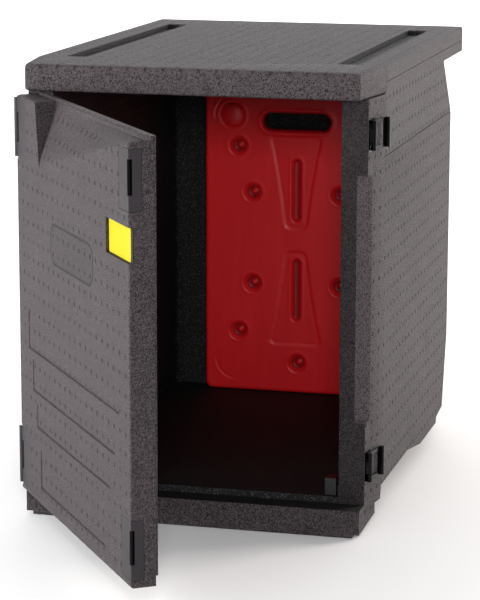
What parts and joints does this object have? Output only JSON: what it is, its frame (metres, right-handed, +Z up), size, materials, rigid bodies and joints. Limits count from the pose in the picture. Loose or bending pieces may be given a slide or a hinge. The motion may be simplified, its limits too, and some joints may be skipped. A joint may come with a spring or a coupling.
{
  "type": "insulated food carrier",
  "caption": "Front-loading insulated food carrier in bead foam with a hinged door, side latches, a card pocket and a loose thermal plate standing inside.",
  "frame": {"origin": "centre of the carrier's footprint, on the floor", "axes": "+Z up, the door and the front face -Y, the hinges are on the -X side"},
  "size_m": [0.5502, 1.2053, 0.69],
  "materials": {
    "body_foam": "expanded bead foam, fine pebbled skin",
    "cover_foam": "expanded bead foam, fine pebbled skin",
    "door_foam": "expanded bead foam, fine pebbled skin",
    "tray_grey": "smooth moulded",
    "card_yellow": "smooth sheet",
    "bumper_rubber": "moulded",
    "strike_grey": "smooth moulded",
    "hinge_grey": "smooth moulded",
    "pin_steel": "drawn",
    "latch_black": "polished moulded",
    "plate_red": "blow moulded, satin",
    "cap_red": "moulded",
    "gel": "gel"
  },
  "bodies": {
    "carrier": {"body_shell": "body_foam", "top_cover": "cover_foam", "corner_bumper": "bumper_rubber", "hinge_leaf_lower": "hinge_grey", "hinge_leaf_upper": "hinge_grey", "latch_base_lower": "latch_black", "latch_base_upper": "latch_black", "latch_pin_lower": "pin_steel", "latch_pin_upper": "pin_steel"},
    "door": {"door_panel": "door_foam", "card_tray": "tray_grey", "strike_plate_lower": "strike_grey", "strike_plate_upper": "strike_grey", "hinge_insert_lower": "hinge_grey", "hinge_insert_upper": "hinge_grey", "hinge_pin_lower": "pin_steel", "hinge_pin_upper": "pin_steel"},
    "card": {"label_card": "card_yellow"},
    "bail_lower": {"latch_bail_lower": "latch_black"},
    "bail_upper": {"latch_bail_upper": "latch_black"},
    "plate": {"thermal_plate": "plate_red", "plate_filling": "gel"},
    "cap": {"filler_cap": "cap_red"}
  },
  "joints": [
    {"name": "door_swing", "type": "hinge", "parent": "carrier", "child": "door", "pos_m": [-0.26378, -0.3876, 0.3], "axis": [0, 0, -1], "range_deg": [-54.57, 185]},
    {"name": "card_slide", "type": "slide", "parent": "door", "child": "card", "axis": [0.5797, -0.8148, 0], "range_m": [0, 0.08]},
    {"name": "latch_upper_swing", "type": "hinge", "parent": "carrier", "child": "bail_upper", "pos_m": [0.26533, -0.339, 0.596], "axis": [0, 0, -1], "range_deg": [0, 167]},
    {"name": "latch_lower_swing", "type": "hinge", "parent": "carrier", "child": "bail_lower", "pos_m": [0.26533, -0.339, 0.098], "axis": [0, 0, -1], "range_deg": [0, 170]},
    {"name": "plate_slide", "type": "slide", "parent": "carrier", "child": "plate", "axis": [0, -1, 0], "range_m": [0, 0.5]},
    {"name": "cap_turn", "type": "hinge", "parent": "plate", "child": "cap", "pos_m": [-0.1087, 0.272, 0.5383], "axis": [0, -1, 0], "range_deg": [0, 360]}
  ]
}
